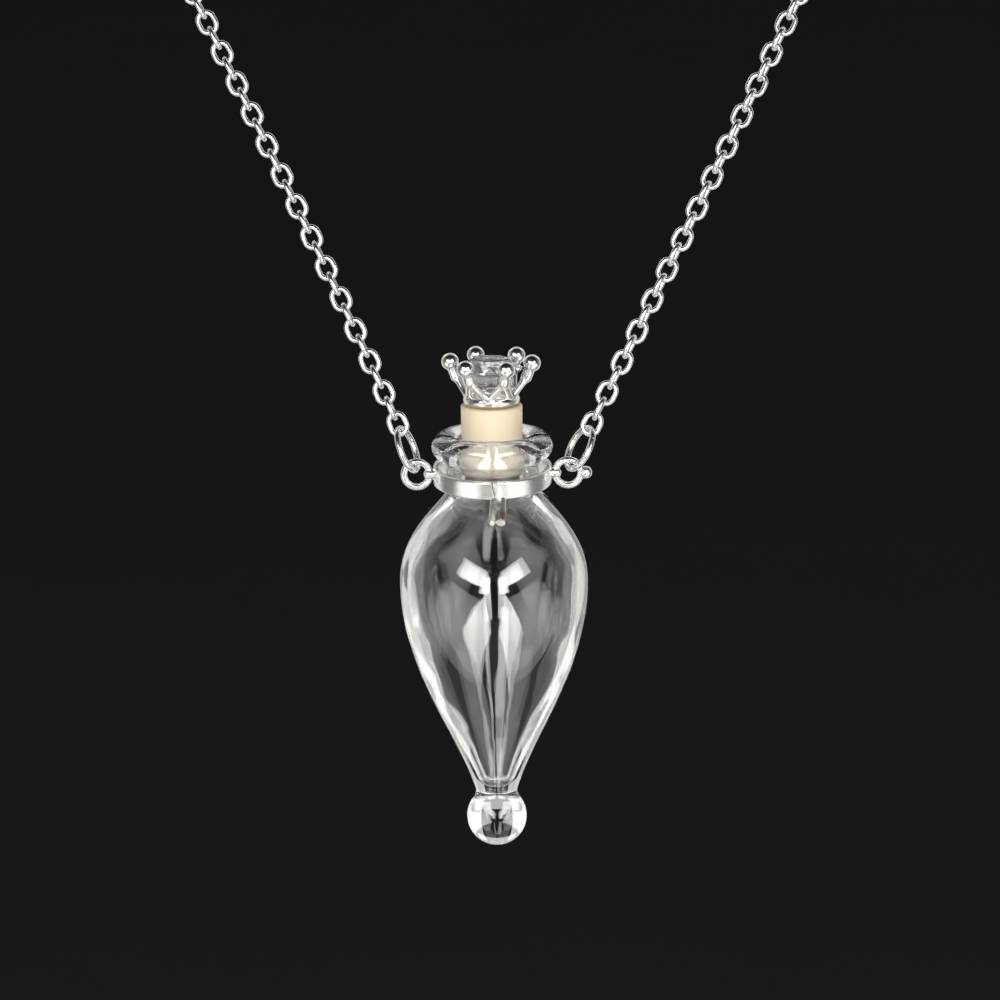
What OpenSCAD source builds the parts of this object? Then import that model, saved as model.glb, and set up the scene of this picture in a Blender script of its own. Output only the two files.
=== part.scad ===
/* [Bottle] */
// Height of the glass from the foot ball to the top of the lip
bottle_h = 40; // [39.8:0.1:40.2]
// Width of the belly at its widest
belly_d = 18; // [17.8:0.1:18.1]
// Thickness of the glass at the belly
belly_wall = 1.05; // [0.9:0.05:1.4]
// Diameter of the ball that the belly is drawn down to
foot_ball_d = 5.72; // [5.4:0.02:6]
// Outer diameter of the neck
neck_d = 8.8; // [8.4:0.1:9.2]
// Diameter of the bore in the neck
bore_d = 6.1; // [6.05:0.01:6.2]
// Outer diameter of the rounded lip
lip_d = 11.6; // [11.4:0.05:11.7]
// Height of the rounded lip
lip_h = 2.7; // [2.6:0.02:2.76]

/* [Stopper] */
// Diameter of the stopper at its top
stopper_d = 5.8; // [5.7:0.05:5.85]
// Height of the stopper
stopper_h = 6.45; // [6.4:0.05:6.6]
// How deep the stopper stands in the neck
stopper_in = 3.8; // [3.7:0.05:3.9]

/* [Crown setting] */
// Number of prongs round the stone
prongs = 6; // [6:1:6]
// Outer diameter of the ring that stands on the stopper
crown_ring_d = 5.4; // [5.2:0.1:5.6]
// Distance from the middle to the centre of a prong's ball tip
tip_reach = 3.92; // [3.9:0.02:4]
// Height of the ball tips' centres above the stopper
tip_rise = 4; // [3.96:0.02:4.04]
// Diameter of a ball tip
tip_d = 1.68; // [1.6:0.02:1.72]
// Diameter of the stone at its girdle
stone_d = 6; // [5.8:0.05:6.04]

/* [Collar] */
// Outer diameter of the band round the neck
band_d = 11.2; // [11.1:0.1:11.3]
// Thickness of the band
band_t = 0.5; // [0.4:0.05:0.6]
// Height of the band
band_h = 1.66; // [1.5:0.02:1.7]
// Width of the open seam at the front
seam_w = 0.12; // [0.1:0.02:0.2]
// Diameter of the two wire tails below the seam
tail_d = 0.76; // [0.6:0.02:0.8]
// How far the tails hang below the band
tail_drop = 2.15; // [2:0.05:2.3]
// Diameter of an eye at the middle of its wire
eye_d = 2.44; // [2.42:0.01:2.46]
// Thickness of an eye's wire
eye_wire = 0.64; // [0.6:0.02:0.66]
// Distance from the bottle's axis to the middle of an eye
eye_out = 7.12; // [7.08:0.01:7.16]
// Diameter of the ball on the outer side of the right eye
knob_d = 1.2; // [1:0.05:1.25]

/* [Jump rings] */
// Outer diameter of a jump ring
ring_d = 4.8; // [4.6:0.05:5]
// Thickness of a jump ring's wire
ring_wire = 0.6; // [0.56:0.01:0.62]

/* [Chain] */
// Outer length of a link
link_l = 2.525; // [2.52:0.005:2.535]
// Outer width of a link
link_w = 2.0; // [1.98:0.01:2.04]
// Thickness of a link's wire
link_wire = 0.4; // [0.38:0.005:0.4]
// Distance from one link to the next, fitted to a whole number of links
link_pitch = 1.615; // [1.61:0.001:1.62]

/* [Loop] */
// How far the pendant hangs in front of the nape
front_out = 74; // [73:0.5:75]
// How far the collar's eyes hang below the nape
drop = 122.5; // [121.5:0.5:123.5]

/* [Clasp] */
// Diameter of the plain barrel at the nape
clasp_d = 3; // [2.6:0.1:3.4]
// Length of the barrel
clasp_l = 8; // [7.8:0.1:8.2]

/* [Hidden] */
$fn = 64;
clear = 0.1;
ring_play = 0.17;

// heights in the pendant's own frame, which starts at the lowest point of the foot ball
lip_r = lip_h / 2;
lip_z = bottle_h - lip_r;
lip_mid = lip_d / 2 - lip_r;
belly_z = 25.7;
foot_z = foot_ball_d;
shoulder_z = 34.5;
stopper_z = bottle_h - stopper_in;
stopper_top = stopper_z + stopper_h;
band_r = band_d / 2;
eye_z = 36;
eye_r = eye_d / 2;
peg_r = 0.6;
peg_l = 4;
girdle_z = stopper_top + 3.5;

// the pendant's frame in the necklace, whose origin is the nape
pendant_at = [0, -front_out, -drop - eye_z];

function unit(v) = v / norm(v);
function bezier(a, b, c, d, n) = [
    for (i = [0 : n])
        let (t = i / n, s = 1 - t)
            s * s * s * a + 3 * s * s * t * b + 3 * s * t * t * c + t * t * t * d
];

// a solid stick between two points, as a cone with a radius at each end
module stick(a, b, ra, rb) {
    v = b - a;
    translate(a)
        rotate([0, acos(v.z / norm(v)), atan2(v.y, v.x)])
            cylinder(r1 = ra, r2 = rb, h = norm(v), $fn = 32);
}

// frame with local z along one direction and local x as near as can be to another
module aim(at, along, face) {
    z = unit(along);
    x = unit(face - (face * z) * z);
    y = cross(z, x);
    multmatrix([
        [x.x, y.x, z.x, at.x],
        [x.y, y.y, z.y, at.y],
        [x.z, y.z, z.z, at.z],
        [0, 0, 0, 1],
    ])
        children();
}

module pendant_frame() {
    translate(pendant_at) children();
}

// half outline of the glass, as radius and height: foot, belly, shoulder and neck
waist_r = 2.15;
function outer_outline() =
    let (belly = [belly_d / 2, belly_z], neck = [neck_d / 2, shoulder_z])
    concat(
        [[0, foot_z - 1.2], [waist_r, foot_z - 0.2]],
        bezier([waist_r, foot_z + 0.2], [4.2, 11.9], [belly.x, 17.3], belly, 12),
        bezier(belly, [belly.x, 30.45], [neck.x + 0.9, 33.2], neck, 8),
        [[neck.x, lip_z], [0, lip_z]]
    );

function inner_outline() =
    let (
        belly = [belly_d / 2 - belly_wall, belly_z],
        bore = [bore_d / 2, shoulder_z - 0.4],
        floor_z = foot_z + 0.3
    )
    concat(
        [[0, floor_z], [0.8, floor_z + 0.25]],
        bezier([1.25, floor_z + 0.8], [2.9, 12.1], [belly.x, 17.4], belly, 12),
        bezier(belly, [belly.x, 30.1], [bore.x + 1.1, 32.65], bore, 8),
        [[bore.x, bottle_h + 1], [0, bottle_h + 1]]
    );

module bottle() {
    color([0.85, 0.9, 0.92, 0.4])
        pendant_frame()
            rotate_extrude()
                difference() {
                    union() {
                        polygon(outer_outline());
                        intersection() {
                            translate([0, foot_ball_d / 2]) circle(d = foot_ball_d);
                            square([foot_ball_d, foot_ball_d]);
                        }
                        translate([lip_mid, lip_z]) circle(r = lip_r);
                    }
                    polygon(inner_outline());
                }
}

module stopper() {
    chamfer = 0.2;
    taper = 0.07;
    color([1, 0.92, 0.8])
        pendant_frame()
            translate([0, 0, stopper_z])
                difference() {
                    union() {
                        cylinder(r1 = stopper_d / 2 - taper, r2 = stopper_d / 2, h = stopper_h - chamfer);
                        translate([0, 0, stopper_h - chamfer])
                            cylinder(r1 = stopper_d / 2, r2 = stopper_d / 2 - chamfer, h = chamfer);
                    }
                    translate([0, 0, stopper_h - peg_l - clear])
                        cylinder(r = peg_r + clear / 2, h = peg_l + 1);
                }
}

// first prong's direction, counted from the wearer's left to the back
prong_turn = 51.5;
function round_point(r, a, z) = [r * cos(a), r * sin(a), z];

module prong(a) {
    leg_r = 0.36;
    shaft_r = 0.46;
    ring_mid = crown_ring_d / 2 - leg_r - 0.09;
    spread = 28;
    tip = round_point(tip_reach, a, tip_rise);
    fork = round_point(3.3, a, 2.6);
    stick(fork, tip, shaft_r, 0.5);
    translate(tip) sphere(d = tip_d, $fn = 32);
    translate(fork) sphere(r = shaft_r + 0.05, $fn = 32);
    for (side = [-1, 1])
        stick(round_point(ring_mid, a + side * spread, 0.5), fork, leg_r, leg_r);
}

module crown_setting() {
    rim_h = 0.74;
    seat_z = stopper_top + 0.05;
    color([0.86, 0.86, 0.87])
        pendant_frame()
            translate([0, 0, seat_z]) {
                difference() {
                    cylinder(d = crown_ring_d, h = rim_h);
                    translate([0, 0, 0.35]) cylinder(d1 = crown_ring_d - 2.2, d2 = crown_ring_d - 1.6, h = rim_h);
                }
                translate([0, 0, -peg_l]) cylinder(r = peg_r, h = peg_l + 0.2);
                for (k = [0 : prongs - 1])
                    prong(prong_turn + k * 360 / prongs);
            }
}

// cut stone: table, crown facets, girdle and pavilion as rings of corners round the axis
module stone() {
    r = stone_d / 2;
    // columns: radius, height above the girdle, corners, turn of the first corner
    rings = [
        [0.57 * r, 0.3 * r, 8, 22.5],
        [0.81 * r, 0.2 * r, 8, 0],
        [r, 0.025 * r, 16, 11.25],
        [r, -0.025 * r, 16, 11.25],
        [0.46 * r, -0.5 * r, 8, 22.5],
        [0.02 * r, -0.86 * r, 8, 0],
    ];
    color([0.93, 0.95, 1, 0.6])
        pendant_frame()
            translate([0, 0, girdle_z])
                hull()
                    for (ring = rings)
                        translate([0, 0, ring[1]])
                            rotate([0, 0, ring[3]])
                                cylinder(r = ring[0], h = 0.001, $fn = ring[2]);
}

module eye() {
    rotate([90, 0, 0]) rotate_extrude() translate([eye_r, 0]) circle(d = eye_wire, $fn = 32);
}

// wire tail: it starts inside the band, leans out over the glass and ends round
module tail(top_x, foot_x, down) {
    top = [top_x, band_t / 2 - band_r, -0.2];
    foot = [foot_x, -band_r - 1.38, -band_h / 2 - down + tail_d / 2];
    stick(top, foot, tail_d / 2, tail_d / 2);
    translate(foot) sphere(d = tail_d + 0.02, $fn = 32);
}

module collar() {
    sleeve_r = 0.45;
    band_sag = 5.5;
    color([0.8, 0.8, 0.81])
        pendant_frame() {
            // the band sags at the front: it is turned about the line through the eyes
            translate([0, 0, eye_z])
                rotate([band_sag, 0, 0]) {
                    difference() {
                        translate([0, 0, -band_h / 2]) cylinder(r = band_r, h = band_h);
                        translate([0, 0, -band_h]) cylinder(r = band_r - band_t, h = 2 * band_h);
                        translate([-seam_w / 2, -band_r - 1, -band_h]) cube([seam_w, 2, 2 * band_h]);
                    }
                    tail(0.1, -0.1, tail_drop);
                    tail(0.9, 0.78, tail_drop - 0.1);
                }
            for (side = [-1, 1]) {
                translate([side * eye_out, 0, eye_z]) eye();
                translate([side * (band_r - band_t / 2), 0, eye_z])
                    rotate([0, side * 90, 0]) cylinder(r = sleeve_r, h = eye_out - eye_r - band_r + band_t / 2 + 0.1, $fn = 32);
            }
            translate([eye_out + eye_r + eye_wire / 2 + 0.15, 0, eye_z]) sphere(d = knob_d, $fn = 32);
        }
}

// how each side hangs, columns for the right and the left side
RIGHT = 0;
LEFT = 1;
side_sign = [1, -1];
ring_lean = [27, 20];
ring_turn = [18, -13.5];
link_twist = [-18, 0];
lean_back = 10;

function eye_at(s) = pendant_at + [side_sign[s] * eye_out, 0, eye_z];
function pull(s) = [
    side_sign[s] * sin(ring_lean[s]),
    cos(ring_lean[s]) * sin(lean_back),
    cos(ring_lean[s]) * cos(lean_back),
];
ring_r = (ring_d - ring_wire) / 2;
ring_rise = eye_r - (eye_wire + ring_wire) / 2 - ring_play + ring_r;
link_rise = ring_rise + ring_r - (ring_wire + link_wire) / 2 - clear + (link_l - link_wire) / 2;

// a direction square to the axis and nearest to another, then turned round the axis
function square_to(v, axis) = unit(v - (v * axis) * axis);
function turned(v, axis, a) = v * cos(a) + cross(axis, v) * sin(a);

module jump_ring(s) {
    across = turned(square_to([0, 1, 0], pull(s)), pull(s), ring_turn[s]);
    color([0.83, 0.83, 0.84])
        aim(eye_at(s) + ring_rise * pull(s), cross(pull(s), across), pull(s))
            rotate_extrude() translate([ring_r, 0]) circle(d = ring_wire, $fn = 32);
}

module jump_ring_left() {
    jump_ring(LEFT);
}

module jump_ring_right() {
    jump_ring(RIGHT);
}

// the chain's route past the pendant, columns: out to the right, out to the left, back, up
route = [
    [29.1, 26.8, -62, -80.3],
    [43.5, 42, -51, -51.5],
    [54, 53.5, -36, -25],
    [53, 53, -17.5, -5.5],
    [38.5, 38.5, -5, 1.5],
    [21, 21, -0.5, 1],
];
clasp_eye_r = 1;
clasp_wire = 0.6;
clasp_eye_x = clasp_l / 2 + clasp_eye_r - 0.05;
last_link_x = clasp_eye_x + clasp_eye_r - (clasp_wire + link_wire) / 2 - clear + (link_l - link_wire) / 2;

function knots(s) =
    let (
        first = eye_at(s) + link_rise * pull(s),
        last = [side_sign[s] * last_link_x, 0, 0],
        run = 30
    )
    concat(
        [first - run * pull(s), first],
        [for (row = route) [side_sign[s] * row[s], row[2], row[3]]],
        [last, last - [side_sign[s] * run, 0, 0]]
    );

// smooth curve through the knots, in even steps of each span
function smooth(p, steps) = [
    for (k = [1 : len(p) - 3], i = [0 : steps - 1])
        let (t = i / steps, a = p[k - 1], b = p[k], c = p[k + 1], d = p[k + 2])
            (2 * b + (c - a) * t + (2 * a - 5 * b + 4 * c - d) * t * t + (3 * b - a - 3 * c + d) * t * t * t) / 2,
    p[len(p) - 2],
];
function lengths(p) = [for (i = 0, s = 0; i < len(p); s = s + (i + 1 < len(p) ? norm(p[i + 1] - p[i]) : 0), i = i + 1) s];
function at_length(table, s) = [for (axis = [0 : 2]) lookup(s, table[axis])];

// a direction carried along the chain with no twist of its own
function carried(face, along) = [
    for (i = 0, f = square_to(face, along[0]); i < len(along); i = i + 1, f = i < len(along) ? square_to(f, along[i]) : f) f
];

module link() {
    r = (link_w - link_wire) / 2;
    straight = link_l - link_w;
    for (end = [0, 180])
        rotate([end, 0, 0])
            translate([0, 0, straight / 2])
                rotate([90, 0, 0])
                    rotate_extrude(angle = 180, $fn = 24) translate([r, 0]) circle(d = link_wire, $fn = 16);
    for (side = [-1, 1])
        translate([side * r, 0, 0]) cylinder(d = link_wire, h = straight, center = true, $fn = 16);
}

// one row for each link: where it is, which way the chain runs there, and the link's broad side
function links(s) =
    let (
        path = smooth(knots(s), 16),
        far = lengths(path),
        end = far[len(far) - 1],
        table = [for (axis = [0 : 2]) [for (i = [0 : len(path) - 1]) [far[i], path[i][axis]]]],
        count = round(end / link_pitch) + 1,
        pitch = end / (count - 1),
        along = [
            for (i = [0 : count - 1])
                unit(at_length(table, min((i + 0.5) * pitch, end)) - at_length(table, max((i - 0.5) * pitch, 0)))
        ],
        faces = carried([0, -1, 0], along)
    )
    [
        for (i = [0 : count - 1])
            let (twist = link_twist[s] * min(1, (i + 2) / 6) + (i % 2 == 0 ? 90 : 0))
                [at_length(table, i * pitch), along[i], turned(faces[i], along[i], twist)]
    ];

module chain(s) {
    color([0.85, 0.85, 0.86])
        for (row = links(s))
            aim(row[0], row[1], row[2]) link();
}

module chain_left() {
    chain(LEFT);
}

module chain_right() {
    chain(RIGHT);
}

// plain barrel with an eye at each end, square to the last link that it holds
module clasp() {
    color([0.83, 0.83, 0.84]) {
        rotate([0, 90, 0]) cylinder(d = clasp_d, h = clasp_l, center = true);
        for (s = [RIGHT, LEFT])
            let (rows = links(s))
                aim([side_sign[s] * clasp_eye_x, 0, 0], rows[len(rows) - 1][2], [1, 0, 0])
                    rotate_extrude() translate([clasp_eye_r, 0]) circle(d = clasp_wire, $fn = 32);
    }
}

bottle();
stopper();
crown_setting();
stone();
collar();
jump_ring_left();
jump_ring_right();
chain_left();
chain_right();
clasp();
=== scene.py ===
import math

import bmesh
import bpy
from mathutils import Matrix, Quaternion, Vector, noise


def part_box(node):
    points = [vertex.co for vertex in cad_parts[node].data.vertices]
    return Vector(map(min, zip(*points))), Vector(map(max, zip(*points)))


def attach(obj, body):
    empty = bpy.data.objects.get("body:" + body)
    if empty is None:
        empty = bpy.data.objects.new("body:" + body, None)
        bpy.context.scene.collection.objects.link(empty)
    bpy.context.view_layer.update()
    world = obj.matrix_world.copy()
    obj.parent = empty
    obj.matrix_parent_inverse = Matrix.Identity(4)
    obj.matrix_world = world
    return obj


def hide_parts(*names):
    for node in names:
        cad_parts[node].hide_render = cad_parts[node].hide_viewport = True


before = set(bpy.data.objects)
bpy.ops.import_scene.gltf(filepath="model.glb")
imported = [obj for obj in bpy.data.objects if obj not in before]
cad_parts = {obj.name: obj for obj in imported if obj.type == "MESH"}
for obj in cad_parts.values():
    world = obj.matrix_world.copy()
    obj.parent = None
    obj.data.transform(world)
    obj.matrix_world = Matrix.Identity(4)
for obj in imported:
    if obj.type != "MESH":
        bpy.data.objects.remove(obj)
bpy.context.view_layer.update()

MM = 0.001

# the pendant's axis and the lowest point of its foot ball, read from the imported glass
glass_low, glass_high = (Vector(corner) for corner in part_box("bottle"))
AXIS = Vector(((glass_low.x + glass_high.x) / 2, (glass_low.y + glass_high.y) / 2, glass_low.z))


def pendant_point(x, y, z):
    """A point of the pendant in millimetres from the foot of its axis, in the shared frame."""
    return AXIS + Vector((x, y, z)) * MM


# Shader values and finishes

class Value:
    """A shader socket that takes part in Python expressions."""

    def __init__(self, finish, socket):
        self.finish = finish
        self.socket = socket

    def _math(self, operation, first, second=None):
        values = [first] if second is None else [first, second]
        return self.finish.node("ShaderNodeMath", {"operation": operation}, values)

    def __add__(self, other):
        return self._math("ADD", self, other)

    def __radd__(self, other):
        return self._math("ADD", other, self)

    def __sub__(self, other):
        return self._math("SUBTRACT", self, other)

    def __rsub__(self, other):
        return self._math("SUBTRACT", other, self)

    def __mul__(self, other):
        return self._math("MULTIPLY", self, other)

    def __rmul__(self, other):
        return self._math("MULTIPLY", other, self)

    def size(self):
        """The value without its sign."""
        return self._math("ABSOLUTE", self)

    def rise(self, low, high):
        """0 below low, 1 above high and smooth between; low may be the larger."""
        settings = {"interpolation_type": "SMOOTHSTEP"}
        if low < high:
            values = {"Value": self, "From Min": low, "From Max": high, "To Min": 0.0, "To Max": 1.0}
        else:
            values = {"Value": self, "From Min": high, "From Max": low, "To Min": 1.0, "To Max": 0.0}
        return self.finish.node("ShaderNodeMapRange", settings, values)


class Finish:
    """One node material, built round a Principled shader."""

    def __init__(self, name, **constants):
        self.material = bpy.data.materials.new(name)
        self.material.use_nodes = True
        self.tree = self.material.node_tree
        self.shader = self.tree.nodes["Principled BSDF"]
        for socket, value in constants.items():
            self.shader.inputs[socket.replace("_", " ")].default_value = value

    def node(self, kind, settings, values=(), out=0):
        made = self.tree.nodes.new(kind)
        for key, value in settings.items():
            setattr(made, key, value)
        named = values.items() if isinstance(values, dict) else enumerate(values)
        for key, value in named:
            self.feed(made.inputs[key], value)
        return Value(self, made.outputs[out])

    def feed(self, socket, value):
        if isinstance(value, Value):
            self.tree.links.new(value.socket, socket)
        else:
            socket.default_value = value

    def place(self, stretch=(1, 1, 1)):
        """Millimetres from the foot of the pendant's axis, stretched along each axis."""
        coordinates = self.node("ShaderNodeTexCoord", {}, out="Object")
        scale = [s / MM for s in stretch]
        return self.node("ShaderNodeMapping", {}, {
            "Vector": coordinates,
            "Location": tuple(-c * s for c, s in zip(AXIS, scale)),
            "Scale": tuple(scale),
        })

    def parts(self, vector):
        split = self.tree.nodes.new("ShaderNodeSeparateXYZ")
        self.feed(split.inputs[0], vector)
        return [Value(self, out) for out in split.outputs]

    def noise(self, where, scale, detail=2.0, roughness=0.5, distortion=0.0):
        return self.node("ShaderNodeTexNoise", {}, {
            "Vector": where, "Scale": scale, "Detail": detail,
            "Roughness": roughness, "Distortion": distortion,
        })

    def blend(self, factor, first, second):
        mixed = self.tree.nodes.new("ShaderNodeMix")
        mixed.data_type = "RGBA"
        self.feed(mixed.inputs["Factor"], factor)
        self.feed(mixed.inputs[6], first)
        self.feed(mixed.inputs[7], second)
        return Value(self, mixed.outputs[2])

    def set(self, socket, value):
        self.feed(self.shader.inputs[socket], value)

    def bump(self, height, strength, depth):
        """Relief of a depth in millimetres."""
        self.set("Normal", self.node("ShaderNodeBump", {}, {
            "Height": height, "Strength": strength, "Distance": depth * MM,
        }))


def grey(level, warm=0.0):
    return (level * (1 + warm), level, level * (1 - warm), 1.0)


def glass_finish():
    finish = Finish("bottle_glass", Base_Color=(0.99, 0.995, 0.995, 1), Roughness=0.0, IOR=1.5)
    finish.shader.inputs["Transmission Weight"].default_value = 1.0
    finish.shader.inputs["Coat Weight"].default_value = 1.0
    finish.shader.inputs["Coat Roughness"].default_value = 0.0
    finish.shader.inputs["Coat IOR"].default_value = 1.6
    _, _, z = finish.parts(finish.place())
    waves = finish.noise(finish.place((1, 1, 0.35)), 0.45, 1.5)
    streaks = finish.noise(finish.place((1, 1, 0.6)), 1.3, 2.0, 0.5, 0.6)
    finish.bump(waves + streaks * z.rise(37.0, 37.8) * 0.9, 0.25, 0.12)
    return finish.material


def stopper_finish():
    finish = Finish("stopper_wood", IOR=1.45)
    _, _, z = finish.parts(finish.place())
    grain = finish.noise(finish.place((1, 1, 0.06)), 3.2, 4.0, 0.6)
    fleck = finish.noise(finish.place((1, 1, 0.3)), 9.0, 2.0)
    outside = finish.blend(grain.rise(0.3, 0.75) * 0.35, (0.98, 0.84, 0.62, 1), (0.93, 0.77, 0.54, 1))
    # painted reflection: the stopper is painted paler below z 39.3-40.3, inside the neck, in place of
    # the lamps' reflection in the neck glass
    body = finish.blend(z.rise(40.3, 39.3), outside, (0.98, 0.9, 0.75, 1))
    # painted shade: a dark brown band at the top edge, under the crown setting, and a darker one at the
    # bottom edge inside the bore
    edge = z.rise(42.4, 42.6) * 0.3 + z.rise(36.6, 36.25) * 0.5
    finish.set("Base Color", finish.blend(edge, body, (0.45, 0.3, 0.16, 1)))
    finish.set("Roughness", 0.42 + fleck * 0.2)
    finish.bump(grain + fleck * 0.3, 0.2, 0.02)
    return finish.material


def cast_finish():
    finish = Finish("cast_metal", Metallic=1.0)
    where = finish.place()
    soft = finish.noise(where, 1.1, 2.0)
    grit = finish.noise(where, 9.0, 2.0)
    _, _, z = finish.parts(where)
    # partly real tarnish, partly painted shade: the crown is darkened brownish in noisy patches towards
    # its base ring, where the legs meet it
    low = z.rise(44.4, 43.2)
    tarnish_and_painted_shade = soft.rise(0.45, 0.75) * low * 0.45
    finish.set("Base Color", finish.blend(tarnish_and_painted_shade, grey(0.94, 0.012), (0.62, 0.5, 0.42, 1)))
    finish.set("Roughness", 0.12 + soft * 0.14 + grit * 0.06)
    finish.bump(soft + grit * 0.08, 0.5, 0.12)
    return finish.material


def stone_finish():
    finish = Finish("cut_stone", Base_Color=(0.95, 0.95, 0.99, 1), IOR=2.0)
    finish.shader.inputs["Transmission Weight"].default_value = 0.9
    finish.set("Roughness", finish.noise(finish.place(), 1.5, 1.0) * 0.02)
    return finish.material


def band_finish():
    finish = Finish("band_metal", Metallic=1.0)
    x, y, z = finish.parts(finish.place())
    along = finish.noise(finish.place((0.5, 0.5, 9)), 1.6, 3.0)
    patch = finish.noise(finish.place(), 2.4, 3.0)
    front = y.rise(-4.8, -5.0)
    seam = front * (x - 0.12).size().rise(0.42, 0.08)
    clean = finish.blend(patch.rise(0.55, 0.8) * 0.3, grey(0.96, 0.01), grey(0.84, 0.02))
    soldered = finish.blend(seam * patch.rise(0.35, 0.6) * 0.8, clean, (0.46, 0.5, 0.42, 1))
    stained = front * z.rise(34.0, 33.5) * z.rise(32.8, 33.1) * x.rise(0.4, 0.6)
    finish.set("Base Color", finish.blend(stained * 0.75, soldered, (0.5, 0.28, 0.22, 1)))
    tails = front * z.rise(34.9, 34.6)
    finish.set("Roughness", 0.2 + along * 0.12 + seam * 0.15 + tails * 0.1)
    finish.bump(along * 0.15 + seam * patch, 0.3, 0.05)
    return finish.material


def wire_finish(name, tint, scratch):
    finish = Finish(name, Metallic=1.0)
    where = finish.place()
    soft = finish.noise(where, 0.9, 2.0)
    fine = finish.noise(where, scratch, 3.0)
    finish.set("Base Color", finish.blend(soft, grey(tint), grey(tint * 0.86, 0.015)))
    finish.set("Roughness", 0.2 + fine * 0.14)
    finish.bump(fine * 0.15 + soft, 0.12, 0.04)
    return finish.material


GLASS = glass_finish()
WOOD = stopper_finish()
CAST = cast_finish()
STONE = stone_finish()
BAND = band_finish()
WIRE = wire_finish("wire_metal", 0.93, 8.0)
CHAIN = wire_finish("chain_metal", 0.93, 6.0)


# Shapes, in millimetres

class Shape:
    """Points and faces that are gathered before they become a piece."""

    def __init__(self):
        self.points, self.faces = [], []

    def add(self, points, faces):
        start = len(self.points)
        self.points += [Vector(p) for p in points]
        self.faces += [[start + i for i in face] for face in faces]
        return self

    def join(self, other, move=None):
        return self.add([move @ p for p in other.points] if move else other.points, other.faces)


def ring_faces(rows, closed_rows=False, closed_ring=True):
    """Faces between rows of point numbers; a row that is one point repeated is a pole."""
    faces = []
    pairs = list(zip(rows, rows[1:]))
    if closed_rows:
        pairs.append((rows[-1], rows[0]))
    for low, high in pairs:
        count = len(low)
        for k in range(count if closed_ring else count - 1):
            n = (k + 1) % count
            corners = list(dict.fromkeys([low[k], low[n], high[n], high[k]]))
            if len(corners) > 2:
                faces.append(corners)
    return faces


def lathe(outline, steps=96, bend=None, closed=False):
    """An outline of radius and height turned round the axis; bend moves each point."""
    shape, rows = Shape(), []
    for r, z in outline:
        if r < 1e-6:
            rows.append([len(shape.points)] * steps)
            shape.points.append(Vector((0, 0, z)))
            continue
        rows.append(list(range(len(shape.points), len(shape.points) + steps)))
        for k in range(steps):
            a = 2 * math.pi * k / steps
            point = Vector((r * math.cos(a), r * math.sin(a), z))
            shape.points.append(bend(point) if bend else point)
    shape.faces = ring_faces(rows, closed)
    return shape


def sweep(path, radii, sides=20, closed=False, round_ends=True):
    """A round wire along a path, with ends that are rounded or flat."""
    path = [Vector(p) for p in path]
    count = len(path)
    if not hasattr(radii, "__len__"):
        radii = [radii] * count
    tangents = []
    for i in range(count):
        if closed:
            tangent = path[(i + 1) % count] - path[i - 1]
        else:
            tangent = path[min(i + 1, count - 1)] - path[max(i - 1, 0)]
        tangents.append(tangent.normalized())
    side = tangents[0].orthogonal().normalized()
    stations = []
    for point, tangent, radius in zip(path, tangents, radii):
        side = (side - side.dot(tangent) * tangent).normalized()
        stations.append((point, tangent, side.copy(), radius))
    if not closed:
        first, last = stations[0], stations[-1]
        steps = (80, 60, 40, 20) if round_ends else (86, 60, 30)
        reach = 1.0 if round_ends else 0.22
        for angles, end, sign in ((steps, first, -1), (steps[::-1], last, 1)):
            extra = []
            for angle in angles:
                a = math.radians(angle)
                shrink = math.cos(a) if round_ends else 1 - reach * (1 - math.cos(a))
                extra.append((end[0] + end[1] * sign * end[3] * reach * math.sin(a), end[1], end[2],
                              end[3] * max(shrink, 0.02)))
            stations = extra + stations if sign < 0 else stations + extra
    shape, rows = Shape(), []
    if not closed:
        rows.append([0] * sides)
        shape.points.append(stations[0][0].copy())
    for point, tangent, side, radius in stations:
        other = tangent.cross(side)
        rows.append(list(range(len(shape.points), len(shape.points) + sides)))
        for k in range(sides):
            a = 2 * math.pi * k / sides
            shape.points.append(point + radius * (side * math.cos(a) + other * math.sin(a)))
    if not closed:
        rows.append([len(shape.points)] * sides)
        shape.points.append(stations[-1][0].copy())
    shape.faces = ring_faces(rows, closed)
    return shape


def ball(centre, radius, rows=12, sides=20, squash=1.0):
    outline = [(radius * math.sin(math.pi * i / rows), -radius * squash * math.cos(math.pi * i / rows))
               for i in range(rows + 1)]
    outline[0], outline[-1] = (0, outline[0][1]), (0, outline[-1][1])
    return Shape().join(lathe(outline, sides), Matrix.Translation(centre))


def arc(centre, radius, start, end, steps):
    """Points of a circle of radius and height round a centre, between two angles in degrees."""
    angles = [math.radians(start + (end - start) * i / steps) for i in range(steps + 1)]
    return [(centre[0] + radius * math.cos(a), centre[1] + radius * math.sin(a)) for a in angles]


def bezier(a, b, c, d, steps):
    curve = []
    for i in range(steps + 1):
        t = i / steps
        s = 1 - t
        curve.append(tuple(
            s * s * s * p + 3 * s * s * t * q + 3 * s * t * t * r + t * t * t * w
            for p, q, r, w in zip(a, b, c, d)
        ))
    return curve


def even(points, spacing):
    """The same line with points at an even spacing along each stretch."""
    result = [points[0]]
    for a, b in zip(points, points[1:]):
        count = max(1, round(math.dist(a, b) / spacing))
        result += [tuple(p + (q - p) * i / count for p, q in zip(a, b)) for i in range(1, count + 1)]
    return result


# Pieces

def rough_mesh(name, shape, origin=AXIS, scale=MM):
    mesh = bpy.data.meshes.new(name)
    mesh.from_pydata([tuple(origin + p * scale) for p in shape.points], [], shape.faces)
    mesh.validate()
    return mesh


def tidy_mesh(mesh, merge, smooth=True):
    body = bmesh.new()
    body.from_mesh(mesh)
    bmesh.ops.remove_doubles(body, verts=body.verts, dist=merge)
    bmesh.ops.recalc_face_normals(body, faces=body.faces)
    for face in body.faces:
        face.smooth = smooth
    body.to_mesh(mesh)
    body.free()


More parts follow.
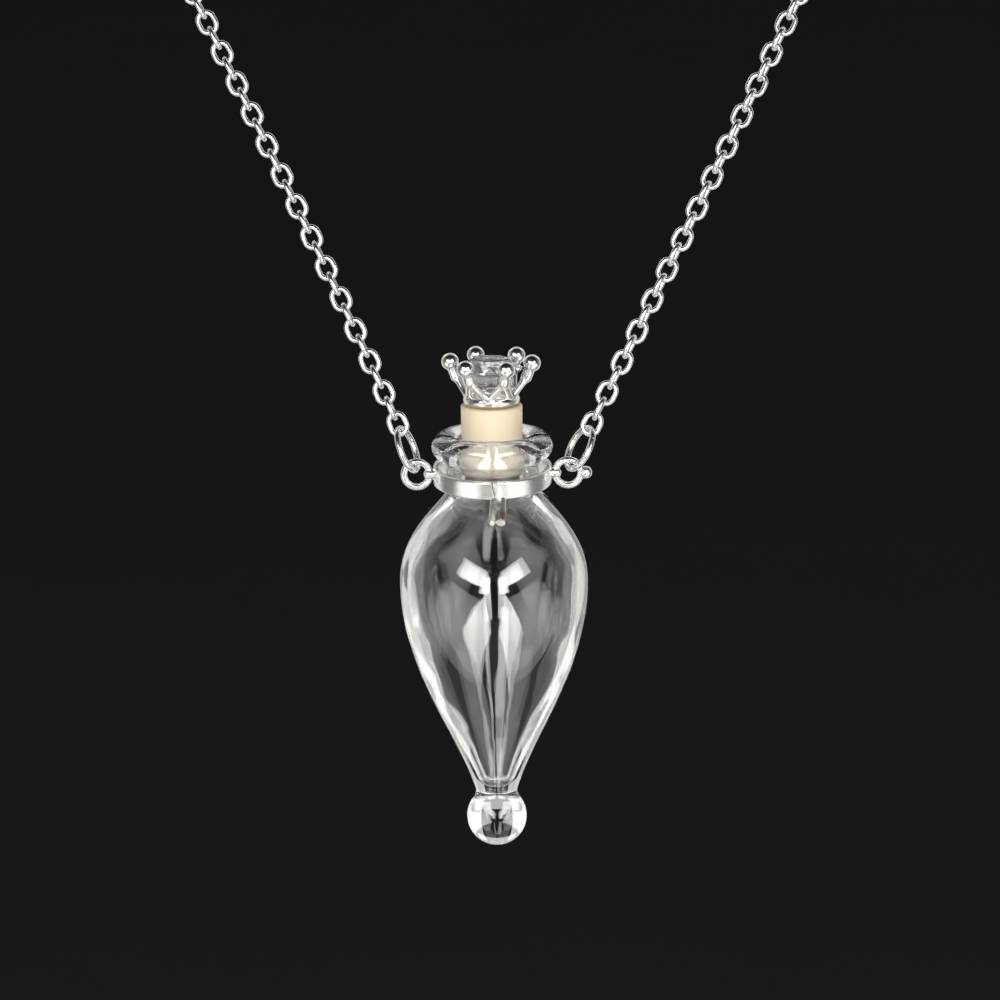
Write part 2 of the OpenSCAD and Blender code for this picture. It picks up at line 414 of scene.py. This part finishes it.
def piece(name, mesh, material, body, node):
    mesh.materials.clear()
    mesh.materials.append(material)
    thing = bpy.data.objects.new(name, mesh)
    bpy.context.scene.collection.objects.link(thing)
    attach(thing, body)
    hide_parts(node)
    return thing


def fused(name, shape, voxel, smoothing):
    """One skin round overlapping shapes: remeshed in millimetres and then smoothed."""
    mesh = rough_mesh(name + "_rough", shape, Vector((0, 0, 0)), 1.0)
    rough = bpy.data.objects.new(name + "_rough", mesh)
    bpy.context.scene.collection.objects.link(rough)
    remesh = rough.modifiers.new("skin", "REMESH")
    remesh.mode = "VOXEL"
    remesh.voxel_size = voxel
    remesh.use_smooth_shade = True
    relax = rough.modifiers.new("relax", "SMOOTH")
    relax.factor = 0.5
    relax.iterations = smoothing
    evaluated = rough.evaluated_get(bpy.context.evaluated_depsgraph_get())
    skin = bpy.data.meshes.new_from_object(evaluated)
    bpy.data.objects.remove(rough)
    skin.name = name
    skin.transform(Matrix.Translation(AXIS) @ Matrix.Scale(MM, 4))
    return skin


FOOT_R = 2.86
WAIST_R, WAIST_TOP = 2.15, 5.92
BELLY_R, BELLY_Z, BELLY_WALL = 9.0, 25.7, 1.05
NECK_R, SHOULDER_Z = 4.4, 34.5
BORE_R, BORE_LOW = 3.05, 34.1
LIP_MID, LIP_Z, LIP_R = 4.45, 38.65, 1.35


def shoulder_line(steps):
    """Outside of the glass from the neck down to the belly."""
    return bezier((NECK_R, SHOULDER_Z), (5.3, 33.2), (BELLY_R, 30.45), (BELLY_R, BELLY_Z), steps)


def taper_line(steps):
    """Outside of the glass from the belly down to the waist."""
    return bezier((BELLY_R, BELLY_Z), (BELLY_R, 17.3), (4.2, 11.9), (WAIST_R, WAIST_TOP), steps)


def bottle_outline():
    """Radius and height of the glass from the inner floor, over the lip and down to the foot ball."""
    inner_r = BELLY_R - BELLY_WALL
    inside = [(0, 6.02), (0.5, 6.1), (0.8, 6.27)]
    inside += bezier((1.25, 6.82), (2.9, 12.1), (inner_r, 17.4), (inner_r, BELLY_Z), 60)
    inside += bezier((inner_r, BELLY_Z), (inner_r, 30.1), (4.15, 32.65), (BORE_R, BORE_LOW), 36)[1:]
    inside += even([(BORE_R, BORE_LOW), (BORE_R, 38.6)], 0.3)[1:]
    lip = arc((LIP_MID, LIP_Z), LIP_R, 172, -84, 40)
    neck = even([(NECK_R + 0.02, 37.2), (NECK_R, SHOULDER_Z)], 0.3)
    outside = shoulder_line(36)[1:] + taper_line(70)[1:]
    waist = [(2.04, 5.62), (1.98, 5.4), (1.99, 5.2), (2.06, 5.0)]
    foot = arc((0, FOOT_R), FOOT_R, 42, -88, 34)
    return inside + lip + neck + outside + waist + foot + [(0, 0)]


WAVE_OUTSIDE, WAVE_INSIDE, WAVE_AT_SIDES = 0.02, 0.05, 0.1
OUTER_SKIN = 0.59


def glass_bottle():
    """Clear glass with hand-blown waves: deepest inside and at its two sides, hardly any outside."""
    outer_line = taper_line(200)[::-1] + shoulder_line(200)[::-1]

    def uneven(p):
        r = math.hypot(p.x, p.y)
        r_outer = min(outer_line, key=lambda q: abs(q[1] - p.z))[0]
        still_below, still_above = (p.z - 7) / 6, (34 - p.z) / 3
        depth = WAVE_INSIDE + WAVE_AT_SIDES * (p.x / max(r, 0.5)) ** 2
        if r_outer - r < OUTER_SKIN:
            depth = WAVE_OUTSIDE
        depth *= max(0.0, min(1.0, still_below)) * max(0.0, min(1.0, still_above))
        wave = noise.noise(Vector((p.x * 0.22, p.y * 0.22, p.z * 0.11 + 3.7)))
        wave += 0.4 * noise.noise(Vector((p.x * 0.6, p.y * 0.6, p.z * 0.3)))
        grow = 1 + depth * wave / max(r, 0.5)
        return Vector((p.x * grow, p.y * grow, p.z))

    mesh = rough_mesh("glass_bottle", lathe(bottle_outline(), 144, uneven))
    tidy_mesh(mesh, 1e-7)
    piece("glass_bottle", mesh, GLASS, "bottle", "bottle")


STOPPER_LOW, STOPPER_TOP = 36.2, 42.65


def wood_stopper():
    """Turned plug, a little wider at its top, with a rounded upper edge."""
    low, high, r_low, r_high, round_r = STOPPER_LOW, STOPPER_TOP, 2.83, 2.9, 0.16
    outline = [(0, low)] + even([(0.4, low), (r_low - 0.1, low)], 0.5)
    outline += arc((r_low - 0.1, low + 0.1), 0.1, -80, 0, 5)
    outline += even([(r_low, low + 0.2), (r_high, high - round_r - 0.05)], 0.4)
    outline += arc((r_high - round_r, high - round_r), round_r, 0, 84, 7)
    outline += even([(r_high - round_r - 0.1, high), (0.4, high)], 0.5) + [(0, high)]

    def turned(p):
        wave = 0.012 * noise.noise(p * 0.9) if math.hypot(p.x, p.y) > 1 else 0
        return p + Vector((p.x, p.y, 0)).normalized() * wave

    mesh = rough_mesh("wood_stopper", lathe(outline, 96, turned))
    tidy_mesh(mesh, 1e-7)
    piece("wood_stopper", mesh, WOOD, "stopper", "stopper")


CROWN_Z = 42.7
CROWN_RING_R = 2.36
PRONG_TURN = 51.5
LEG_SPREAD = 29
FORK_R, FORK_RISE = 3.34, 2.65
TIP_R, TIP_RISE, TIP_BALL_R = 3.9, 4.0, 0.85


def round_point(r, degrees, z):
    a = math.radians(degrees)
    return Vector((r * math.cos(a), r * math.sin(a), z))


def cast_crown():
    """Base ring with a floor, and six ball-tipped prongs that each stand on two legs."""
    shape = Shape()
    ring = [(CROWN_RING_R + 0.33 * math.cos(a), CROWN_Z + 0.48 + 0.47 * math.sin(a))
            for a in (2 * math.pi * i / 16 for i in range(16))]
    shape.join(lathe(ring, 72, closed=True))
    floor_low, floor_high, floor_r = CROWN_Z + 0.02, CROWN_Z + 0.4, 2.4
    shape.join(lathe([(0, floor_low), (floor_r, floor_low), (floor_r, floor_high), (0, floor_high)], 48))
    for k in range(6):
        a = PRONG_TURN + 60 * k
        wobble = 0.06 * math.sin(2.3 * k + 0.7)
        fork = round_point(FORK_R, a, CROWN_Z + FORK_RISE + wobble)
        tip = round_point(TIP_R, a + 8 * wobble, CROWN_Z + TIP_RISE)
        shape.join(sweep([fork + (tip - fork) * t / 6 for t in range(7)],
                         [0.56, 0.54, 0.53, 0.53, 0.54, 0.56, 0.58], 20))
        shape.join(ball(tip, TIP_BALL_R, 14, 24, 0.98))
        for side in (-1, 1):
            root = round_point(CROWN_RING_R - 0.09, a + side * LEG_SPREAD, CROWN_Z + 0.82)
            middle = (root + fork) / 2 + round_point(0.05, a, 0)
            shape.join(sweep([root, (root + middle) / 2, middle, (middle + fork) / 2, fork],
                             [0.42, 0.34, 0.32, 0.36, 0.46], 18))
    piece("cast_crown", fused("cast_crown", shape, 0.075, 5), CAST, "stopper", "crown_setting")


STONE_R, GIRDLE_Z = 3.0, STOPPER_TOP + 3.5


def cut_stone():
    """Round cut: a table, crown facets down to a thin girdle, and a pavilion below."""
    r, girdle = STONE_R, GIRDLE_Z
    rings = [
        (0.57 * r, 0.3 * r, 8, 22.5), (0.81 * r, 0.2 * r, 8, 0), (r, 0.025 * r, 16, 11.25),
        (r, -0.025 * r, 16, 11.25), (0.46 * r, -0.5 * r, 8, 22.5), (0.02 * r, -0.86 * r, 8, 0),
    ]
    body = bmesh.new()
    for radius, height, corners, turn in rings:
        for k in range(corners):
            body.verts.new(round_point(radius, turn + 360 * k / corners, girdle + height))
    bmesh.ops.convex_hull(body, input=body.verts)
    bmesh.ops.dissolve_limit(body, angle_limit=math.radians(0.5), verts=body.verts, edges=body.edges)
    bmesh.ops.recalc_face_normals(body, faces=body.faces)
    for face in body.faces:
        face.smooth = False
    mesh = bpy.data.meshes.new("cut_stone")
    body.to_mesh(mesh)
    body.free()
    mesh.transform(Matrix.Translation(AXIS) @ Matrix.Scale(MM, 4))
    piece("cut_stone", mesh, STONE, "stopper", "stone")


BAND_IN, BAND_OUT, BAND_LOW, BAND_HIGH = 5.1, 5.6, -0.83, 0.83
EYE_Z, EYE_OUT, EYE_R, EYE_WIRE = 36.0, 7.12, 1.22, 0.64
BAND_SAG = 5.5


def band_profile(r_in, r_out, low, high, corner=0.11):
    """Rounded upright section of the band, all the way round."""
    line = arc((r_out - corner, low + corner), corner, -90, 0, 4)
    line += [(r_out, low + (high - low) * t) for t in (0.3, 0.5, 0.7)]
    line += arc((r_out - corner, high - corner), corner, 0, 90, 4)
    line += arc((r_in + corner, high - corner), corner, 90, 180, 4)
    line += [(r_in, low + (high - low) * t) for t in (0.7, 0.3)]
    line += arc((r_in + corner, low + corner), corner, 180, 270, 4)
    return line


SEAM_X, SEAM_HALF, SEAM_NOTCH = 0.12, 0.035, 0.05
BAND_STEPS, SEAM_CROWDING = 180, 0.648


def open_band():
    """The band as one bent strip: a crooked open seam at the front, with a notch at its top."""
    profile = band_profile(BAND_IN, BAND_OUT, BAND_LOW, BAND_HIGH)
    shape, rows = Shape(), []
    for k in range(BAND_STEPS + 1):
        row = []
        # closer stations at the seam, where its edges bend
        t = k / BAND_STEPS
        t -= SEAM_CROWDING * math.sin(2 * math.pi * t) / (2 * math.pi)
        for r, z in profile:
            height = (z - BAND_LOW) / (BAND_HIGH - BAND_LOW)
            middle = SEAM_X + 0.1 * math.sin(5.2 * height + 0.6) - 0.1 * height
            half = SEAM_HALF + SEAM_NOTCH * max(0.0, height - 0.55) / 0.45
            start = -90 + math.degrees((middle + half) / BAND_OUT)
            end = 270 + math.degrees((middle - half) / BAND_OUT)
            a = start + (end - start) * t
            row.append(len(shape.points))
            shape.points.append(round_point(r, a, z))
        rows.append(row)
    shape.faces = ring_faces(rows)
    shape.faces += [rows[0][::-1], rows[-1]]
    return shape


def torus(centre, radius, wire, normal, steps=64, sides=20):
    normal = normal.normalized()
    first = normal.orthogonal().normalized()
    second = normal.cross(first)
    path = [centre + radius * (first * math.cos(a) + second * math.sin(a))
            for a in (2 * math.pi * k / steps for k in range(steps))]
    return sweep(path, wire / 2, sides, closed=True)


LEFT_TAIL = [(0.1, -5.0, -0.35), (0.1, -5.3, -0.85), (0.07, -5.98, -1.4), (0.0, -6.5, -1.95),
             (-0.1, -6.98, -2.58)]
RIGHT_TAIL = [(0.92, -4.95, -0.35), (0.9, -5.25, -0.85), (0.88, -5.93, -1.35), (0.86, -6.4, -1.85),
              (0.83, -6.75, -2.25)]
CUT_END = [(0.82, -6.7, -2.3), (0.76, -6.92, -2.46), (0.73, -7.15, -2.56)]
KNOB_R = 0.6


def band_collar():
    """Two side eyes with their stubs and the knob, the sagging band, and the wire tails at its seam."""
    shape = Shape()
    for side in (-1, 1):
        shape.join(torus(Vector((side * EYE_OUT, 0, EYE_Z)), EYE_R, EYE_WIRE, Vector((0, 1, 0))))
        start, end = side * (BAND_OUT - 0.25), side * (EYE_OUT - EYE_R + 0.1)
        shape.join(sweep([(start, 0, EYE_Z), ((start + end) / 2, 0, EYE_Z), (end, 0, EYE_Z)],
                         [0.62, 0.44, 0.5], 20))
    knob = Vector((EYE_OUT + EYE_R + EYE_WIRE / 2 + 0.15, 0, EYE_Z))
    shape.join(ball(knob, KNOB_R))
    solder = fused("collar_eyes", shape, 0.06, 3)
    piece("collar_eyes", solder, BAND, "collar", "collar")

    sag = Matrix.Translation((0, 0, EYE_Z)) @ Matrix.Rotation(math.radians(BAND_SAG), 4, "X")
    strip = rough_mesh("collar_band", Shape().join(open_band(), sag))
    tidy_mesh(strip, 1e-8)
    piece("collar_band", strip, BAND, "collar", "collar")

    tails = Shape()
    tails.join(sweep(LEFT_TAIL, [0.36, 0.37, 0.37, 0.375, 0.37], 24), sag)
    tails.join(sweep(RIGHT_TAIL, [0.34, 0.34, 0.345, 0.36, 0.38], 24), sag)
    tails.join(sweep(CUT_END, [0.36, 0.43, 0.44], 24, round_ends=False), sag)
    piece("collar_tails", fused("collar_tails", tails, 0.045, 2), BAND, "collar", "collar")


# How each side hangs, and the chain's route, as in the part's source

SIGN = {"right": 1, "left": -1}
RING_LEAN = {"right": 27, "left": 20}
RING_TURN = {"right": 18, "left": -13.5}
LINK_TWIST = {"right": -18, "left": 0}
LEAN_BACK = 10
RING_D, RING_WIRE, RING_PLAY, CLEAR = 4.8, 0.6, 0.17, 0.1
LINK_L, LINK_W, LINK_WIRE, LINK_PITCH = 2.525, 2.0, 0.4, 1.615
ROUTE = [
    (29.1, 26.8, -62, -80.3), (43.5, 42, -51, -51.5), (54, 53.5, -36, -25),
    (53, 53, -17.5, -5.5), (38.5, 38.5, -5, 1.5), (21, 21, -0.5, 1),
]
CLASP_D, CLASP_L, CLASP_EYE_R, CLASP_WIRE = 3.0, 8.0, 1.0, 0.6
CLASP_EYE_X = CLASP_L / 2 + CLASP_EYE_R - 0.05
RING_R = (RING_D - RING_WIRE) / 2
RING_RISE = EYE_R - (EYE_WIRE + RING_WIRE) / 2 - RING_PLAY + RING_R
LINK_RISE = RING_RISE + RING_R - (RING_WIRE + LINK_WIRE) / 2 - CLEAR + (LINK_L - LINK_WIRE) / 2
LAST_LINK_X = CLASP_EYE_X + CLASP_EYE_R - (CLASP_WIRE + LINK_WIRE) / 2 - CLEAR + (LINK_L - LINK_WIRE) / 2


def eye_at(side):
    return AXIS / MM + Vector((SIGN[side] * EYE_OUT, 0, EYE_Z))


def pull(side):
    """The way the side's ring and first links hang from the eye: outwards, up and a little back."""
    lean, back = math.radians(RING_LEAN[side]), math.radians(LEAN_BACK)
    upward = math.cos(lean)
    return Vector((SIGN[side] * math.sin(lean), upward * math.sin(back), upward * math.cos(back)))


def square_to(v, axis):
    return (v - v.dot(axis) * axis).normalized()


def turned(v, axis, degrees):
    a = math.radians(degrees)
    return v * math.cos(a) + axis.cross(v) * math.sin(a)


def smooth_route(side):
    sign, first = SIGN[side], eye_at(side) + LINK_RISE * pull(side)
    last = Vector((sign * LAST_LINK_X, 0, 0))
    column = 0 if side == "right" else 1
    knots = [first - 30 * pull(side), first]
    knots += [Vector((sign * row[column], row[2], row[3])) for row in ROUTE]
    knots += [last, last - Vector((sign * 30, 0, 0))]
    path, steps = [], 16
    for k in range(1, len(knots) - 2):
        a, b, c, d = knots[k - 1:k + 3]
        for i in range(steps):
            t = i / steps
            path.append((2 * b + (c - a) * t + (2 * a - 5 * b + 4 * c - d) * t * t
                         + (3 * b - a - 3 * c + d) * t ** 3) / 2)
    return path + [knots[-2]]


def links(side):
    """Each link's middle, the way the chain runs there and the link's broad side."""
    path = smooth_route(side)
    far = [0.0]
    for a, b in zip(path, path[1:]):
        far.append(far[-1] + (b - a).length)
    end = far[-1]

    def at(s):
        s = min(max(s, 0.0), end)
        k = next((i for i in range(1, len(far)) if far[i] >= s), len(far) - 1)
        t = (s - far[k - 1]) / (far[k] - far[k - 1])
        return path[k - 1].lerp(path[k], t)

    count = round(end / LINK_PITCH) + 1
    pitch = end / (count - 1)
    rows, face = [], Vector((0, -1, 0))
    for i in range(count):
        along = (at((i + 0.5) * pitch) - at((i - 0.5) * pitch)).normalized()
        face = square_to(face, along)
        twist = LINK_TWIST[side] * min(1, (i + 2) / 6) + (90 if i % 2 == 0 else 0)
        rows.append((at(i * pitch), along, turned(face, along, twist)))
    return rows


RING_CUT = {"right": -52, "left": 38}
RING_STEPS = 96


def jump_rings():
    """Open wire rings: the cut lies beside the first link, its flat ends a hair apart."""
    for side in ("left", "right"):
        direction = pull(side)
        across = turned(square_to(Vector((0, 1, 0)), direction), direction, RING_TURN[side])
        centre = eye_at(side) + RING_RISE * direction
        cut = math.radians(RING_CUT[side])
        slit = 0.03 / RING_R
        path = []
        for k in range(RING_STEPS + 1):
            a = cut + slit + (2 * math.pi - 2 * slit) * k / RING_STEPS
            step = direction.cross(across) * 0.035 * (k / RING_STEPS - 0.5)
            path.append(centre + RING_R * (direction * math.cos(a) + across * math.sin(a)) + step)
        mesh = rough_mesh("wire_ring_" + side, sweep(path, RING_WIRE / 2 - 0.004, 20, round_ends=False),
                          Vector((0, 0, 0)))
        tidy_mesh(mesh, 1e-8)
        piece("wire_ring_" + side, mesh, WIRE, "root", "jump_ring_" + side)


def link_tree():
    """Chain links on a row of points: each point's attributes say how its link is turned."""
    tree = bpy.data.node_groups.new("linked_chain", "GeometryNodeTree")
    sockets = {}
    tree.interface.new_socket("Geometry", in_out="INPUT", socket_type="NodeSocketGeometry")
    for name, kind in (("Link Length", "NodeSocketFloat"), ("Link Width", "NodeSocketFloat"),
                       ("Link Wire", "NodeSocketFloat"), ("Play", "NodeSocketFloat"),
                       ("Seed", "NodeSocketInt"), ("Finish", "NodeSocketMaterial")):
        sockets[name] = tree.interface.new_socket(name, in_out="INPUT", socket_type=kind).identifier
    tree.interface.new_socket("Geometry", in_out="OUTPUT", socket_type="NodeSocketGeometry")

    def add(kind, settings=None, **values):
        made = tree.nodes.new(kind)
        for key, value in (settings or {}).items():
            setattr(made, key, value)
        for key, value in values.items():
            socket = made.inputs[key.replace("_", " ")]
            if hasattr(value, "is_output"):
                tree.links.new(value, socket)
            else:
                socket.default_value = value
        return made

    def sums(operation, first, second):
        made = tree.nodes.new("ShaderNodeMath")
        made.operation = operation
        for socket, value in zip(made.inputs, (first, second)):
            if hasattr(value, "is_output"):
                tree.links.new(value, socket)
            else:
                socket.default_value = value
        return made.outputs[0]

    given = tree.nodes.new("NodeGroupInput").outputs
    width = sums("SUBTRACT", given["Link Width"], given["Link Wire"])
    length = sums("SUBTRACT", given["Link Length"], given["Link Wire"])
    frame_line = add("GeometryNodeCurvePrimitiveQuadrilateral", Width=width, Height=length)
    bent = add("GeometryNodeFilletCurve", {"mode": "POLY"}, Curve=frame_line.outputs[0], Count=5,
               Radius=sums("MULTIPLY", width, 0.4999), Limit_Radius=True)
    section = add("GeometryNodeCurvePrimitiveCircle", Resolution=10,
                  Radius=sums("MULTIPLY", given["Link Wire"], 0.5))
    skin = add("GeometryNodeCurveToMesh", Curve=bent.outputs[0])
    tree.links.new(section.outputs[0], skin.inputs["Profile Curve"])
    upright = add("GeometryNodeTransform", Geometry=skin.outputs[0], Rotation=(math.pi / 2, 0, 0))
    rounded = add("GeometryNodeSetShadeSmooth", Geometry=upright.outputs[0])
    directions = []
    for name in ("along", "broad"):
        read = add("GeometryNodeInputNamedAttribute", {"data_type": "FLOAT_VECTOR"}, Name=name)
        directions.append(next(out for out in read.outputs if out.enabled and out.name == "Attribute"))
    turn = add("FunctionNodeAxesToRotation", {"primary_axis": "Z", "secondary_axis": "X"},
               Primary_Axis=directions[0], Secondary_Axis=directions[1])
    wobble = add("FunctionNodeRandomValue", {"data_type": "FLOAT_VECTOR"})
    low, high = (s for s in wobble.inputs if s.enabled and s.name in ("Min", "Max"))
    play = given["Play"]
    for socket, sign in ((low, -1.0), (high, 1.0)):
        spread = tree.nodes.new("ShaderNodeCombineXYZ")
        for axis in spread.inputs:
            tree.links.new(sums("MULTIPLY", play, sign), axis)
        tree.links.new(spread.outputs[0], socket)
    tree.links.new(given["Seed"], wobble.inputs["Seed"])
    little = add("FunctionNodeEulerToRotation", Euler=next(out for out in wobble.outputs if out.enabled))
    both = add("FunctionNodeRotateRotation", {"rotation_space": "LOCAL"},
               Rotation=turn.outputs[0], Rotate_By=little.outputs[0])
    strung = add("GeometryNodeInstanceOnPoints", Points=given["Geometry"], Instance=rounded.outputs[0],
                 Rotation=both.outputs[0])
    real = add("GeometryNodeRealizeInstances", Geometry=strung.outputs[0])
    finished = add("GeometryNodeSetMaterial", Geometry=real.outputs[0], Material=given["Finish"])
    out = tree.nodes.new("NodeGroupOutput")
    tree.links.new(finished.outputs[0], out.inputs[0])
    return tree, sockets


SHOWN_LINK_WIRE = 0.475
LINK_PLAY = 1.2


def chains():
    tree, sockets = link_tree()
    for side in ("left", "right"):
        rows = links(side)
        points = bpy.data.meshes.new("chain_points_" + side)
        points.from_pydata([tuple(row[0] * MM) for row in rows], [], [])
        for column, name in ((1, "along"), (2, "broad")):
            attribute = points.attributes.new(name, "FLOAT_VECTOR", "POINT")
            attribute.data.foreach_set("vector", [c for row in rows for c in row[column]])
        strand = bpy.data.objects.new("chain_points_" + side, points)
        bpy.context.scene.collection.objects.link(strand)
        modifier = strand.modifiers.new("links", "NODES")
        modifier.node_group = tree
        for name, value in (("Link Length", LINK_L * MM), ("Link Width", LINK_W * MM),
                            ("Link Wire", SHOWN_LINK_WIRE * MM), ("Play", math.radians(LINK_PLAY)),
                            ("Seed", 7), ("Finish", CHAIN)):
            modifier[sockets[name]] = value
        evaluated = strand.evaluated_get(bpy.context.evaluated_depsgraph_get())
        mesh = bpy.data.meshes.new_from_object(evaluated)
        bpy.data.objects.remove(strand)
        mesh.name = "cable_chain_" + side
        piece("cable_chain_" + side, mesh, CHAIN, "root", "chain_" + side)


def barrel_clasp():
    """Screw barrel: two domed halves with a waist between them, and a wire eye at each end."""
    half, r = CLASP_L / 2, CLASP_D / 2
    dome = [(0, 0), (0.7, 0), (1.05, 0.08), (1.3, 0.35), (1.44, 0.8), (1.49, 1.4), (r, 2.2)]
    line = [(radius, rise - half) for radius, rise in dome]
    line += [(r, -0.75), (r - 0.05, -0.55), (r - 0.2, -0.5), (r - 0.22, -0.42), (r - 0.04, -0.36)]
    line += [(r, -0.28), (r, -0.08), (r - 0.05, -0.03), (r - 0.05, 0.03)]
    line += [(p, -q) for p, q in line[::-1][1:]]
    body = lathe(even(line, 0.35), 64)
    shape = Shape().join(body, Matrix.Rotation(math.radians(90), 4, "Y"))
    for side in ("left", "right"):
        centre = Vector((SIGN[side] * CLASP_EYE_X, 0, 0))
        shape.join(torus(centre, CLASP_EYE_R, CLASP_WIRE, links(side)[-1][2], 48, 16))
    mesh = rough_mesh("barrel_clasp", shape, Vector((0, 0, 0)))
    tidy_mesh(mesh, 1e-8)
    piece("barrel_clasp", mesh, WIRE, "root", "clasp")


glass_bottle()
wood_stopper()
cast_crown()
cut_stone()
band_collar()
jump_rings()
chains()
barrel_clasp()


# Studio

FLOOR_DROP, FLOOR_HALF = 600, 5000


def pale_floor():
    half, z = FLOOR_HALF, -FLOOR_DROP
    corners = [(-half, -half, z), (half, -half, z), (half, half, z), (-half, half, z)]
    mesh = rough_mesh("floor", Shape().add(corners, [(0, 1, 2, 3)]))
    finish = Finish("pale_floor", Roughness=0.8)
    finish.set("Base Color", finish.blend(finish.noise(finish.place(), 0.02), grey(0.74), grey(0.7)))
    mesh.materials.append(finish.material)
    ground = bpy.data.objects.new("floor", mesh)
    bpy.context.scene.collection.objects.link(ground)


def around(azimuth, elevation, distance, height=34):
    """A place round the pendant: azimuth from the front towards the right, in degrees."""
    a, e = math.radians(azimuth), math.radians(elevation)
    direction = Vector((math.sin(a) * math.cos(e), -math.cos(a) * math.cos(e), math.sin(e)))
    return pendant_point(0, 0, height) + direction * distance * MM


def softbox(name, azimuth, elevation, distance, size, radiance, roll=0, spread=179, above=0):
    """A rectangular light as bright to look at as its radiance says, softer away from its axis."""
    light = bpy.data.lights.new(name, "AREA")
    light.shape = "RECTANGLE"
    light.size, light.size_y = size[0] * MM, size[1] * MM
    half = math.radians(spread) / 2
    gain = math.tan(half) / (math.tan(half) - half)
    light.energy = radiance * math.pi * light.size * light.size_y / gain
    light.spread = 2 * half
    light.color = (1.0, 0.985, 0.955)
    lamp = bpy.data.objects.new(name, light)
    lamp.location = around(azimuth, elevation, distance)
    aim = (pendant_point(0, 0, 30 + above) - lamp.location).to_track_quat("-Z", "Y")
    lamp.rotation_euler = (aim @ Quaternion((0, 0, 1), math.radians(roll))).to_euler()
    lamp.visible_camera = False
    bpy.context.scene.collection.objects.link(lamp)


def studio():
    for side, sign in (("left", -1), ("right", 1)):
        softbox("front_" + side, azimuth=50 * sign, elevation=-23, distance=420, size=(370, 390),
                radiance=1.5, roll=31 * sign, spread=90)
        softbox("low_" + side, azimuth=48 * sign, elevation=-60, distance=330, size=(150, 260),
                radiance=0.66, roll=12 * sign, spread=120)
        softbox("window_" + side, azimuth=28 * sign, elevation=20, distance=520, size=(330, 190),
                radiance=6.6, roll=22 * sign, spread=80, above=60)
        softbox("inner_window_" + side, azimuth=11 * sign, elevation=6, distance=520, size=(90, 200),
                radiance=6.2, roll=10 * sign, spread=80, above=120)
        softbox("side_" + side, azimuth=102 * sign, elevation=0, distance=380, size=(330, 620),
                radiance=0.2, spread=140)
        softbox("rim_" + side, azimuth=139 * sign, elevation=0, distance=420, size=(280, 680),
                radiance=0.7)
    softbox("strip_right", azimuth=12, elevation=-44, distance=420, size=(80, 420),
            radiance=2.6, spread=120)
    softbox("strip_left", azimuth=-11, elevation=-44, distance=420, size=(24, 420),
            radiance=2.6, spread=120)
    softbox("under", azimuth=180, elevation=-50, distance=330, size=(500, 300),
            radiance=0.54)
    softbox("above", azimuth=180, elevation=42, distance=400, size=(600, 300),
            radiance=0.65)
    world = bpy.data.worlds.new("studio")
    world.use_nodes = True
    world.node_tree.nodes["Background"].inputs["Color"].default_value = (0.008, 0.008, 0.008, 1)
    bpy.context.scene.world = world
    bpy.context.scene.view_settings.view_transform = "Standard"
    # thick clear glass needs many inner reflections before a ray leaves it
    paths = bpy.context.scene.cycles
    paths.max_bounces, paths.glossy_bounces, paths.transmission_bounces = 24, 16, 24


VIEW_DISTANCE, VIEW_ELEVATION, VIEW_ROLL, VIEW_LENS = 1.2, 12.5, 0.756, 458.0


def camera():
    """The photograph's view, from a little above level, rolled by the pendant's small lean."""
    distance, elevation, roll = VIEW_DISTANCE, math.radians(VIEW_ELEVATION), math.radians(VIEW_ROLL)
    target = pendant_point(0.676, 0, 33.41)
    back = Vector((0, -math.cos(elevation), math.sin(elevation)))
    right = Vector((1, 0, 0))
    up = back.cross(right)
    turned_up = up * math.cos(roll) + right * math.sin(roll)
    turned_right = turned_up.cross(back)
    data = bpy.data.cameras.new("camera")
    data.lens = VIEW_LENS
    data.clip_start = 0.01
    data.clip_end = 20
    eye = bpy.data.objects.new("camera", data)
    place = target + back * distance
    eye.matrix_world = Matrix((
        (turned_right.x, turned_up.x, back.x, place.x),
        (turned_right.y, turned_up.y, back.y, place.y),
        (turned_right.z, turned_up.z, back.z, place.z),
        (0, 0, 0, 1),
    ))
    bpy.context.scene.collection.objects.link(eye)
    bpy.context.scene.camera = eye


pale_floor()
studio()
camera()
